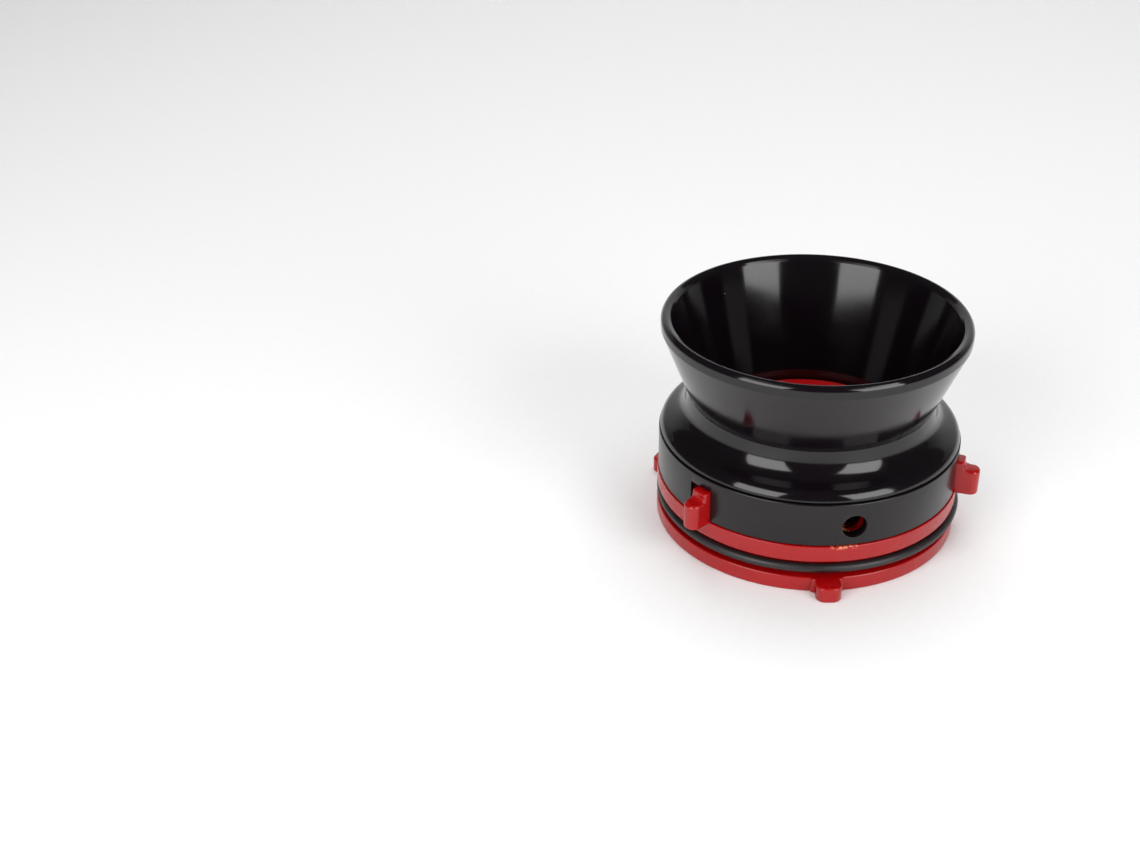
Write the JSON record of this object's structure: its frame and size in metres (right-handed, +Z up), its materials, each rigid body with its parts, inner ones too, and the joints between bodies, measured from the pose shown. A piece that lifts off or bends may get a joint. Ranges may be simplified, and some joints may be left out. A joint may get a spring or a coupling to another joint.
{
  "type": "flared cup with twist-lock base",
  "caption": "Flared, waisted black cup on a red twist-lock base ring with finger lugs, a loose rubber ring round the base and a rubber valve disc in the throat.",
  "frame": {"origin": "on the axis, in the plane that the base stands on", "axes": "+Z up the axis to the flared mouth, -Y to the front, where one lock lug points just right of the viewer"},
  "size_m": [0.099, 0.0979, 0.0653],
  "materials": {
    "black_anodised": "black anodised, polished to a gloss",
    "black_anodised_skirt": "black anodised, satin",
    "red_gloss": "moulded, glossy",
    "red_textured": "moulded, spark-textured",
    "seal_rubber": "moulded, satin",
    "disc_rubber": "sheet, satin",
    "spring_steel": "plain"
  },
  "bodies": {
    "insert": {"lug_ring": "red_gloss", "valve_sleeve": "red_textured", "body_ring": "seal_rubber", "throat_seal": "seal_rubber", "flange_clip": "spring_steel", "seat_spider": "red_gloss", "valve_disc": "disc_rubber", "hub_washer": "spring_steel"},
    "cup": {"funnel_shell": "black_anodised", "skirt_ring": "black_anodised_skirt"},
    "lock_flange": {"lock_flange": "red_gloss"},
    "hub": {"valve_hub": "red_gloss", "hub_clip": "spring_steel"}
  },
  "joints": [
    {"name": "lock_turn", "type": "hinge", "parent": "insert", "child": "lock_flange", "pos_m": [0, 0, 0], "axis": [0, 0, 1], "range_deg": [-48, 12]},
    {"name": "cup_play", "type": "hinge", "parent": "insert", "child": "cup", "pos_m": [0, 0, 0.02], "axis": [0, 0, 1], "range_deg": [0, 3.2]},
    {"name": "hub_turn", "type": "hinge", "parent": "insert", "child": "hub", "pos_m": [0, 0, 0.012], "axis": [0, 0, 1], "range_deg": [0, 90]}
  ]
}
